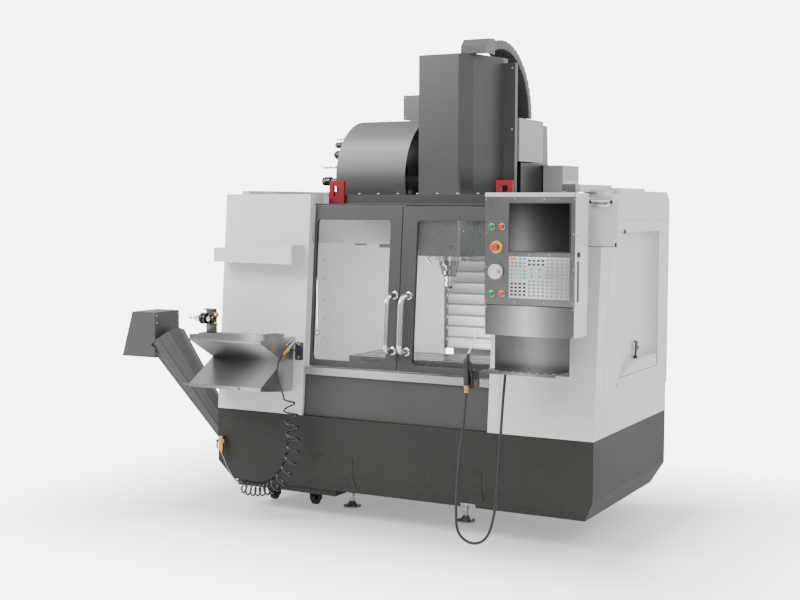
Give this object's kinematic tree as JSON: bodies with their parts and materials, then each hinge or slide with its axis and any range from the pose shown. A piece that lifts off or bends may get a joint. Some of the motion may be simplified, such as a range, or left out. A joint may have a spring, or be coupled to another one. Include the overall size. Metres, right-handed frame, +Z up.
{
  "type": "cnc machining center",
  "caption": "Vertical machining center with sliding doors, a moving table and spindle head, a side tool carousel, a chip auger and a swivelling control pendant.",
  "frame": {"origin": "middle of the footprint on the floor, without the hoses", "axes": "+X to the operator's right along the doors, +Y from the operator to the back, +Z up"},
  "size_m": [3.115, 2.29, 2.6825],
  "materials": {
    "white_paint": "satin white powder coat",
    "dark_paint": "satin dark grey powder coat",
    "mid_grey_paint": "satin grey powder coat",
    "light_grey_paint": "satin light grey powder coat",
    "cast_paint": "painted casting",
    "ground_steel": "ground steel",
    "stainless": "brushed stainless sheet",
    "bright_sill": "satin extrusion",
    "chrome": "polished",
    "red_paint": "gloss red",
    "pane": "clear pane",
    "screen": "dark display glass",
    "zinc": "zinc plated",
    "black_rubber": "matt black",
    "black_plastic": "matt black",
    "chain_plastic": "matt dark grey",
    "brass": "bright brass",
    "green_cap": "gloss green",
    "red_cap": "gloss red",
    "white_cap": "gloss white",
    "black_tyre": "hard caster tyre"
  },
  "bodies": {
    "machine": {"bed_casting": "cast_paint", "column": "cast_paint", "leveling_feet": "zinc", "base_skirt": "dark_paint", "left_front_panel": "white_paint", "right_front_panel": "white_paint", "left_side_panel": "white_paint", "right_side_panel": "white_paint", "lower_front_panel": "dark_paint", "door_sill": "bright_sill", "header_beam": "dark_paint", "lifting_brackets": "red_paint", "inner_walls": "light_grey_paint", "coolant_tank": "dark_paint", "control_cabinet": "light_grey_paint", "service_boxes": "mid_grey_paint", "column_way_cover": "stainless", "carousel_cover": "mid_grey_paint", "tool_changer_housing": "light_grey_paint", "chip_chute": "dark_paint", "tool_tray": "white_paint", "work_shelf": "stainless", "tool_stand": "black_plastic", "air_gun": "ground_steel", "air_valve": "brass", "air_hose_ends": "black_rubber", "air_hose_coil": "black_rubber", "pendant_arm": "light_grey_paint", "document_board": "white_paint", "cable_chain": "chain_plastic"},
    "left_door": {"left_door": "dark_paint", "left_window": "pane"},
    "right_door": {"right_door": "dark_paint", "right_window": "pane"},
    "saddle": {"saddle": "cast_paint"},
    "table": {"table": "ground_steel"},
    "head": {"head_casting": "cast_paint", "head_cover": "mid_grey_paint"},
    "spindle": {"spindle": "ground_steel"},
    "carousel": {"carousel": "cast_paint"},
    "auger": {"chip_auger": "ground_steel"},
    "pendant": {"pendant_case": "white_paint", "pendant_fascia": "stainless", "display": "screen", "pendant_shelf": "stainless", "wash_gun": "black_plastic", "wash_hose": "black_rubber"},
    "jog_wheel": {"jog_wheel": "white_cap"},
    "estop_button": {"estop_button": "red_cap"},
    "power_on_button": {"power_on_button": "green_cap"},
    "power_off_button": {"power_off_button": "red_cap"},
    "cycle_start_button": {"cycle_start_button": "green_cap"},
    "feed_hold_button": {"feed_hold_button": "red_cap"},
    "air_gun_trigger": {"air_gun_trigger": "ground_steel"},
    "wash_gun_trigger": {"wash_gun_trigger": "black_plastic"},
    "valve_lever": {"valve_lever": "black_plastic"},
    "document_clip": {"document_clip": "chrome"},
    "side_latch": {"side_latch": "black_plastic"},
    "front_wheels": {"tank_wheels_front": "black_tyre"},
    "rear_wheels": {"tank_wheels_rear": "black_tyre"}
  },
  "joints": [
    {"name": "left_door_slide", "type": "slide", "parent": "machine", "child": "left_door", "axis": [1, 0, 0], "range_m": [-0.5, 0]},
    {"name": "right_door_slide", "type": "slide", "parent": "machine", "child": "right_door", "axis": [1, 0, 0], "range_m": [0, 0.485]},
    {"name": "saddle_y", "type": "slide", "parent": "machine", "child": "saddle", "axis": [0, 1, 0], "range_m": [-0.203, 0.203]},
    {"name": "table_x", "type": "slide", "parent": "saddle", "child": "table", "axis": [1, 0, 0], "range_m": [-0.274, 0.488]},
    {"name": "head_z", "type": "slide", "parent": "machine", "child": "head", "axis": [0, 0, 1], "range_m": [-0.377, 0.131], "deforming": ["column_way_cover", "cable_chain"]},
    {"name": "spindle_spin", "type": "hinge", "parent": "head", "child": "spindle", "pos_m": [0.3175, -0.145, 1.5], "axis": [0, 0, 1], "continuous": true},
    {"name": "carousel_spin", "type": "hinge", "parent": "machine", "child": "carousel", "pos_m": [-0.1995, 0.007, 1.894], "axis": [1, 0, 0], "continuous": true},
    {"name": "auger_spin", "type": "hinge", "parent": "machine", "child": "auger", "pos_m": [-0.7975, -0.675, 0.323], "axis": [-0.6401, 0, 0.7683], "continuous": true},
    {"name": "pendant_swivel", "type": "hinge", "parent": "machine", "child": "pendant", "pos_m": [1.3765, -0.985, 1.78], "axis": [0, 0, 1], "range_deg": [0, 90]},
    {"name": "jog_wheel_turn", "type": "hinge", "parent": "pendant", "child": "jog_wheel", "pos_m": [1.0365, -1.085, 1.425], "axis": [0, 1, 0], "continuous": true},
    {"name": "estop_push", "type": "slide", "parent": "pendant", "child": "estop_button", "axis": [0, 1, 0], "range_m": [0, 0.006]},
    {"name": "air_gun_lever_squeeze", "type": "hinge", "parent": "machine", "child": "air_gun_trigger", "pos_m": [-0.25232, -0.89803, 1.01874], "axis": [0.8581, -0.5135, 0.0011], "range_deg": [0, 8], "stiffness_Nm_per_rad": 0.5, "springref_deg": -5.73},
    {"name": "wash_gun_lever_squeeze", "type": "hinge", "parent": "pendant", "child": "wash_gun_trigger", "pos_m": [0.9145, -1.12, 0.975], "axis": [0, 1, 0], "range_deg": [0, 9], "stiffness_Nm_per_rad": 0.5, "springref_deg": -5.73},
    {"name": "valve_lever_turn", "type": "hinge", "parent": "machine", "child": "valve_lever", "pos_m": [-0.7975, -0.869, 0.399], "axis": [1, 0, 0], "range_deg": [-90, 0]},
    {"name": "document_clip_open", "type": "hinge", "parent": "machine", "child": "document_clip", "pos_m": [1.4795, -0.852, 1.766], "axis": [1, 0, 0], "range_deg": [-25, 0], "stiffness_Nm_per_rad": 0.6, "springref_deg": 6.88},
    {"name": "side_latch_turn", "type": "hinge", "parent": "machine", "child": "side_latch", "pos_m": [1.4285, -0.127, 0.934], "axis": [1, 0, 0], "range_deg": [-35, 35]},
    {"name": "front_wheels_roll", "type": "hinge", "parent": "machine", "child": "front_wheels", "pos_m": [-0.5145, -0.492, 0.038], "axis": [1, 0, 0], "continuous": true},
    {"name": "rear_wheels_roll", "type": "hinge", "parent": "machine", "child": "rear_wheels", "pos_m": [-0.5145, 0.175, 0.038], "axis": [1, 0, 0], "continuous": true},
    {"name": "power_on_push", "type": "slide", "parent": "pendant", "child": "power_on_button", "axis": [0, 1, 0], "range_m": [0, 0.003], "stiffness_N_per_m": 400, "springref_m": -0.001},
    {"name": "power_off_push", "type": "slide", "parent": "pendant", "child": "power_off_button", "axis": [0, 1, 0], "range_m": [0, 0.003], "stiffness_N_per_m": 400, "springref_m": -0.001},
    {"name": "cycle_start_push", "type": "slide", "parent": "pendant", "child": "cycle_start_button", "axis": [0, 1, 0], "range_m": [0, 0.003], "stiffness_N_per_m": 400, "springref_m": -0.001},
    {"name": "feed_hold_push", "type": "slide", "parent": "pendant", "child": "feed_hold_button", "axis": [0, 1, 0], "range_m": [0, 0.003], "stiffness_N_per_m": 400, "springref_m": -0.001}
  ]
}
